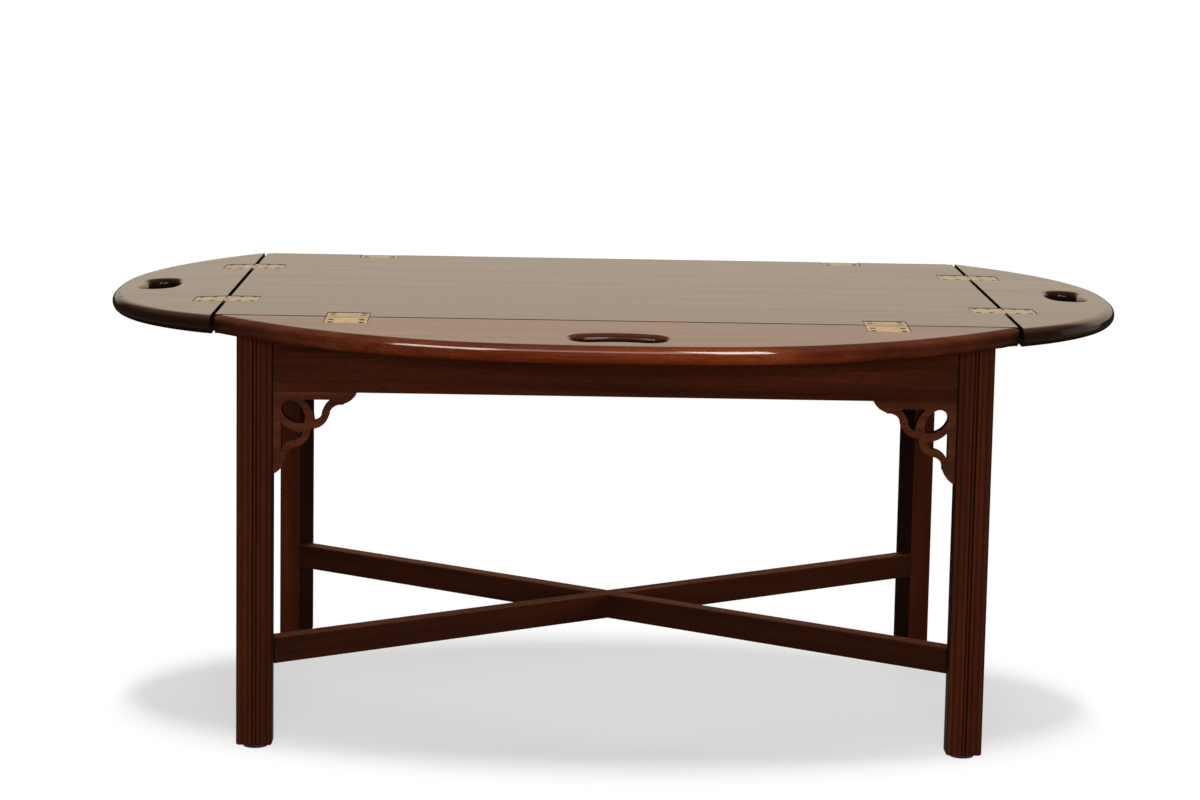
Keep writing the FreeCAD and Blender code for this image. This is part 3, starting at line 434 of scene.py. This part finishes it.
# Flaps. Each is shown as a copy that is shaded by the true curves of its rim and its hand hole.

# Seams, pins, the board's thickness, the flat bands between its two roundings, and the outlines, all as
# the solids have them.
SEAM_X, SEAM_Y = 410.5 * MM, 295.5 * MM
PIN_HEIGHT, PIN_DEPTH, THICKNESS = 455.1 * MM, 1.9 * MM, 19.5 * MM
RIM_FLAT, HOLE_FLAT = 0.5 * MM, 3.5 * MM
REACH = 137.0 * MM
HOLE_CENTRE, HOLE_BEND, HOLE_WIDTH, HOLE_SIDE = 86.0 * MM, 128.0 * MM, 31.0 * MM, 30.5 * MM
SIDE_ARCH = dict(crown=1570.0 * MM, crown_half=96.0 * MM, half_span=416.5 * MM)
END_ARCH = dict(crown=800.0 * MM, crown_half=36.0 * MM, half_span=310.0 * MM)
UP = np.array([0.0, 0.0, 1.0])
# A corner takes the true normal where the cosine between that and its face's normal is above this.
SAME_FACE = 0.85


def arch_inset(u, v, crown, crown_half, half_span):
    """How far points lie inside an arch, and which way is out: the nearest of a crown arc and two shoulder
    arcs, which leave the crown in its own direction and end at the half span on the seam."""
    crown_centre = np.array([0.0, REACH - crown])
    join = np.array([crown_half, crown_centre[1] + math.sqrt(crown**2 - crown_half**2)])
    leaving = (join - crown_centre) / crown
    chord = np.array([half_span, 0.0]) - join
    shoulder = -chord @ chord / (2 * chord @ leaving)
    shoulder_centre = join - leaving * shoulder
    on_crown = np.abs(u) * leaving[1] <= (v - crown_centre[1]) * leaving[0]
    across = u - np.where(on_crown, 0.0, np.sign(u) * shoulder_centre[0])
    out = v - np.where(on_crown, crown_centre[1], shoulder_centre[1])
    reach = np.hypot(across, out)
    return np.where(on_crown, crown, shoulder) - reach, np.stack([across, out], axis=1) / reach[:, None]


def hole_inset(u, v):
    """How far points lie outside the bent slot, and which way the slot is: the nearest point of an arc about
    a point beyond the rim, less half the slot's width."""
    pivot = HOLE_CENTRE + HOLE_BEND
    sweep = math.asin(HOLE_SIDE / HOLE_BEND)
    turn = np.clip(np.arctan2(u, pivot - v), -sweep, sweep)
    nearest = np.stack([HOLE_BEND * np.sin(turn), pivot - HOLE_BEND * np.cos(turn)], axis=1)
    towards = nearest - np.stack([u, v], axis=1)
    apart = np.linalg.norm(towards, axis=1)
    return apart - HOLE_WIDTH / 2, towards / apart[:, None]


def read(items, key, count, kind=float):
    """One key of all a mesh's points, corners or faces, as an array with count columns."""
    values = np.empty(len(items) * count, dtype=kind)
    items.foreach_get(key, values)
    return values.reshape(-1, count)


def shaded_flap(node, outward, seam, droop, arch):
    """A flap's copy. The normal at a corner is an outward and an upward part: outwards, how deep the corner
    lies in the rounding of the rim or of the hand hole; upwards, its height above the flat band at
    mid-thickness. Corners of the sawn faces and of the hinge seats keep their own normals."""
    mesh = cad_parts[node].data.copy()
    level_out = np.array(outward)
    out = math.cos(droop) * level_out - math.sin(droop) * UP
    top = math.cos(droop) * UP + math.sin(droop) * level_out
    along = np.cross(level_out, UP)
    place = read(mesh.vertices, "co", 3) - level_out * seam - UP * PIN_HEIGHT
    u, v = place @ along, place @ out
    lift = place @ top - PIN_DEPTH + THICKNESS / 2
    rim_depth, rim_out = arch_inset(u, v, **arch)
    hole_depth, hole_out = hole_inset(u, v)
    normals = np.zeros((len(u), 3))
    for depth, plan_out, flat in ((rim_depth, rim_out, RIM_FLAT), (hole_depth, hole_out, HOLE_FLAT)):
        radius = (THICKNESS - flat) / 2
        sideways = np.clip(radius - depth, 0.0, None)
        upwards = lift - np.clip(lift, -flat / 2, flat / 2)
        rounded = sideways > 0.0
        whole_out = plan_out[:, :1] * along + plan_out[:, 1:] * out
        normals[rounded] = (sideways[:, None] * whole_out + upwards[:, None] * top)[rounded]
    # The hand hole came last: it is marked from the start of its rounding to its wall, where the material
    # paints shade.
    hollow = sideways / radius
    flat_board = ~np.any(normals, axis=1)
    normals[flat_board] = np.sign(lift[flat_board])[:, None] * top
    normals /= np.maximum(np.linalg.norm(normals, axis=1), 1e-9)[:, None]

    true_normals = normals[read(mesh.loops, "vertex_index", 1, np.int32)[:, 0]]
    own_normals = read(mesh.corner_normals, "vector", 3)
    corners = read(mesh.polygons, "loop_total", 1, np.int32)[:, 0]
    face_normals = np.repeat(read(mesh.polygons, "normal", 3), corners, axis=0)
    agree = np.einsum("ij,ij->i", face_normals, true_normals) > SAME_FACE
    mesh.polygons.foreach_set("use_smooth", np.ones(len(mesh.polygons), dtype=bool))
    mesh.normals_split_custom_set(np.where(agree[:, None], true_normals, own_normals))
    mesh.attributes.new("hollow", "FLOAT", "POINT").data.foreach_set("value", hollow)
    obj = bpy.data.objects.new("polished_" + node, mesh)
    scene.collection.objects.link(obj)
    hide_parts(node)
    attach(obj, node)


shaded_flap("flap_front", (0.0, -1.0, 0.0), SEAM_Y, math.radians(3.8), SIDE_ARCH)
shaded_flap("flap_back", (0.0, 1.0, 0.0), SEAM_Y, math.radians(6.5), SIDE_ARCH)
shaded_flap("flap_left", (-1.0, 0.0, 0.0), SEAM_X, math.radians(2.5), END_ARCH)
shaded_flap("flap_right", (1.0, 0.0, 0.0), SEAM_X, math.radians(1.0), END_ARCH)


def rays_of(tree):
    """Whether a ray comes from the camera, and whether it comes off a mirror or through glass."""
    path = add(tree, "ShaderNodeLightPath").outputs
    mirrored = add(
        tree,
        "ShaderNodeMath",
        {0: path["Is Glossy Ray"], 1: path["Is Transmission Ray"]},
        operation="MAXIMUM",
    )
    return path["Is Camera Ray"], mirrored.outputs[0]


# Floor: a pale sheet under the table with a painted shadow, an even grey oval over the table's own soft
# shadow, which fades into the white around it.

SHADOW_HALF_X, SHADOW_HALF_Y, SHADOW_MIDDLE_Y = 0.532, 0.307, -0.037
SHEET_HALF_X, SHEET_HALF_Y, SHEET_CORNERS = 1.08 * SHADOW_HALF_X, 1.32 * SHADOW_HALF_Y, 96
EDGE_SOFTNESS, FORESHORTENING = 0.018, 0.235
PAPER_GLOW = 0.52


def floor_sheet(half_x, half_y, middle_y, count):
    """A flat oval: points on an ellipse, joined as one face."""
    turn = np.linspace(0.0, 2 * np.pi, count, endpoint=False)
    rim = np.stack([half_x * np.cos(turn), middle_y + half_y * np.sin(turn), np.zeros(count)], axis=1)
    mesh = bpy.data.meshes.new("floor")
    mesh.from_pydata(rim.tolist(), [], [list(range(count))])
    obj = bpy.data.objects.new("floor", mesh)
    scene.collection.objects.link(obj)
    return obj


def paper_with_painted_shadow(name):
    """Paper with a painted shadow: grey paper, lifted for the camera and for mirrors, in an even oval over
    the table's own shade, clear past the oval's edge. The fade follows the distance past that edge, measured
    in
    depth as the eye foreshortens it: (r - 1) r over the length of the oval's slope, where r is 1 on the oval."""
    material, tree = new_material(name)
    place = add(tree, "ShaderNodeTexCoord").outputs["Object"]
    oval_scale = (1 / SHADOW_HALF_X, 1 / SHADOW_HALF_Y, 1.0)
    slope_scale = (1 / SHADOW_HALF_X**2, 1 / (FORESHORTENING * SHADOW_HALF_Y**2), 1.0)
    lengths = []
    for scale in (oval_scale, slope_scale):
        centre = (0.0, -SHADOW_MIDDLE_Y * scale[1], 0.0)
        centred = add(tree, "ShaderNodeMapping", {"Vector": place, "Location": centre, "Scale": scale})
        length = add(tree, "ShaderNodeVectorMath", {0: centred.outputs[0]}, operation="LENGTH")
        lengths.append(length.outputs["Value"])
    radius, slope = lengths
    past = add(tree, "ShaderNodeMath", {0: radius, 1: 1.0}, operation="SUBTRACT")
    weighed = add(tree, "ShaderNodeMath", {0: past.outputs[0], 1: radius}, operation="MULTIPLY")
    distance = add(tree, "ShaderNodeMath", {0: weighed.outputs[0], 1: slope}, operation="DIVIDE")
    fade = add(
        tree,
        "ShaderNodeMapRange",
        {"Value": distance.outputs[0], "From Min": -EDGE_SOFTNESS, "From Max": EDGE_SOFTNESS},
        interpolation_type="SMOOTHSTEP",
    )
    camera_ray, mirrored_ray = rays_of(tree)
    watched = add(tree, "ShaderNodeMath", {0: camera_ray, 1: mirrored_ray}, operation="MAXIMUM")
    lift = add(tree, "ShaderNodeMath", {0: watched.outputs[0], 1: PAPER_GLOW}, operation="MULTIPLY")
    # The paper's grey is painted shadow; past the oval the white around it shows.
    paper = add(tree, "ShaderNodeBsdfDiffuse", {"Color": shade("#929292")})
    glow = add(tree, "ShaderNodeEmission", {"Color": shade("#ffffff"), "Strength": lift.outputs[0]})
    lit = add(tree, "ShaderNodeAddShader", {0: paper.outputs[0], 1: glow.outputs[0]})
    clear = add(tree, "ShaderNodeBsdfTransparent")
    faded = add(tree, "ShaderNodeMixShader", {0: fade.outputs[0], 1: lit.outputs[0], 2: clear.outputs[0]})
    close(tree, faded)
    return material


floor = floor_sheet(SHEET_HALF_X, SHEET_HALF_Y, SHADOW_MIDDLE_Y, SHEET_CORNERS)
floor.data.materials.append(paper_with_painted_shadow("paper_floor_painted_shadow"))


# Light: a warm pale wall behind the table, a dimmer ceiling and ground, and a dim room in front.

TO_WALL, TO_CEILING = (0.20, 0.98, 0.0), (0.0, 0.30, 0.95)
WALL_LEVEL, ROOM_LEVEL, CEILING_LEVEL, GROUND_LEVEL = 0.78, 0.035, 0.30, 0.22


def studio(name):
    """The world: each part of the room is a soft-edged range of directions. The camera sees plain white,
    and a mirror sees the wall as bright as that."""
    world = bpy.data.worlds.new(name)
    world.use_nodes = True
    tree = world.node_tree
    tree.nodes.clear()
    direction = add(tree, "ShaderNodeTexCoord").outputs["Generated"]
    height = add(tree, "ShaderNodeSeparateXYZ", {0: direction}).outputs["Z"]
    backward = add(tree, "ShaderNodeVectorMath", {0: direction, 1: TO_WALL}, operation="DOT_PRODUCT")
    upward = add(tree, "ShaderNodeVectorMath", {0: direction, 1: TO_CEILING}, operation="DOT_PRODUCT")
    parts = []
    for value, start, full, least, most in (
        (backward.outputs["Value"], 0.70, 0.95, 0.0, 1.0),
        (height, -0.03, 0.08, 0.0, 1.0),
        (height, 0.40, 0.52, 1.0, 0.0),
        (upward.outputs["Value"], 0.35, 0.85, ROOM_LEVEL, CEILING_LEVEL),
        (height, -0.15, -0.60, 0.0, GROUND_LEVEL),
    ):
        part = add(
            tree,
            "ShaderNodeMapRange",
            {"Value": value, "From Min": start, "From Max": full, "To Min": least, "To Max": most},
            interpolation_type="SMOOTHSTEP",
        )
        parts.append(part.outputs[0])
    behind, above_foot, below_top, ceiling, ground = parts
    upright = add(tree, "ShaderNodeMath", {0: above_foot, 1: below_top}, operation="MULTIPLY")
    wall = add(tree, "ShaderNodeMath", {0: behind, 1: upright.outputs[0]}, operation="MULTIPLY").outputs[0]
    around = add(tree, "ShaderNodeMath", {0: ceiling, 1: ground}, operation="ADD")
    level = add(
        tree,
        "ShaderNodeMath",
        {0: wall, 1: WALL_LEVEL, 2: around.outputs[0]},
        operation="MULTIPLY_ADD",
    )
    camera_ray, mirrored_ray = rays_of(tree)
    mirrored_wall = add(tree, "ShaderNodeMath", {0: mirrored_ray, 1: wall}, operation="MULTIPLY")
    watched = add(
        tree,
        "ShaderNodeMath",
        {0: camera_ray, 1: mirrored_wall.outputs[0]},
        operation="MAXIMUM",
    )
    strength = add(
        tree,
        "ShaderNodeMix",
        {0: watched.outputs[0], 2: level.outputs[0], 3: 1.0},
        data_type="FLOAT",
    )
    wall_colour = add(
        tree,
        "ShaderNodeValToRGB",
        {"Fac": height},
        stops=[(0.18, shade("#d3c9b5")), (0.28, shade("#fee5ca"))],
    )
    tint = add(
        tree,
        "ShaderNodeMix",
        {0: camera_ray, 6: wall_colour.outputs["Color"], 7: shade("#ffffff")},
        data_type="RGBA",
    )
    background = add(
        tree,
        "ShaderNodeBackground",
        {"Color": tint.outputs[2], "Strength": strength.outputs[0]},
    )
    add(tree, "ShaderNodeOutputWorld", {"Surface": background.outputs[0]})
    return world


def softbox(name, place, target, size, watts, gleam):
    """A rectangular lamp that faces a point: either a gleam in the polish or plain light without a gleam."""
    lamp = bpy.data.lights.new(name, "AREA")
    lamp.shape = "RECTANGLE"
    lamp.size, lamp.size_y = size
    lamp.energy = watts
    obj = bpy.data.objects.new(name, lamp)
    facing = (Vector(target) - Vector(place)).to_track_quat("-Z", "Y")
    obj.matrix_world = Matrix.Translation(place) @ facing.to_matrix().to_4x4()
    obj.visible_camera = False
    obj.visible_glossy = gleam
    obj.visible_diffuse = not gleam
    scene.collection.objects.link(obj)


scene.world = studio("studio")
# Plain lights, then gleams: name, place, the point that it faces, width and height, and watts.
for name, place, target, size, watts in (
    ("top_fill", (0.0, 0.0, 3.60), (0.0, 0.001, 0.0), (1.8, 1.6), 90.0),
    ("front_fill", (-0.1, -3.65, 0.85), (0.0, 0.0, 0.35), (1.6, 0.9), 105.0),
    ("back_fill", (0.1, 3.65, 0.85), (0.0, 0.0, 0.35), (1.6, 0.9), 100.0),
    ("left_fill", (-3.65, 0.3, 0.85), (0.0, 0.0, 0.35), (1.2, 0.9), 45.0),
    ("right_fill", (3.65, 0.3, 0.85), (0.0, 0.0, 0.35), (1.2, 0.9), 115.0),
):
    softbox(name, place, target, size, watts, gleam=False)
for name, place, target, size, watts in (
    ("left_gleam", (-1.30, -2.454, 2.41), (-0.17, -0.43, 0.45), (1.2, 1.0), 46.0),
    ("middle_gleam", (-0.27, -2.50, 2.45), (0.0, -0.43, 0.45), (1.5, 0.9), 14.0),
    ("right_gleam", (0.78, -2.42, 2.60), (0.14, -0.43, 0.45), (0.7, 1.5), 50.0),
    ("side_gleam", (2.6, 1.2, 0.50), (0.55, 0.0, 0.45), (1.4, 1.4), 1.3),
):
    softbox(name, place, target, size, watts, gleam=True)


# Camera, from the photograph's own perspective: its place, where it looks, and its lens in mm.

CAMERA_PLACE = Vector((-54.9565, -3615.0405, 875.85)) * MM
YAW, PITCH, ROLL = -0.0117, 0.1496, 0.0179
SENSOR_WIDTH, FOCAL_LENGTH = 36.0, 98.77
right = Vector((math.cos(YAW), math.sin(YAW), 0.0))
ahead = Vector((-math.sin(YAW) * math.cos(PITCH), math.cos(YAW) * math.cos(PITCH), -math.sin(PITCH)))
up = right.cross(ahead)
rolled_right = math.cos(ROLL) * right + math.sin(ROLL) * up
rolled_up = -math.sin(ROLL) * right + math.cos(ROLL) * up
turned = Matrix((rolled_right, rolled_up, -ahead)).transposed()
camera_data = bpy.data.cameras.new("camera")
camera_data.sensor_width = SENSOR_WIDTH
camera_data.lens = FOCAL_LENGTH
camera = bpy.data.objects.new("camera", camera_data)
camera.matrix_world = Matrix.Translation(CAMERA_PLACE) @ turned.to_4x4()
scene.collection.objects.link(camera)
scene.camera = camera
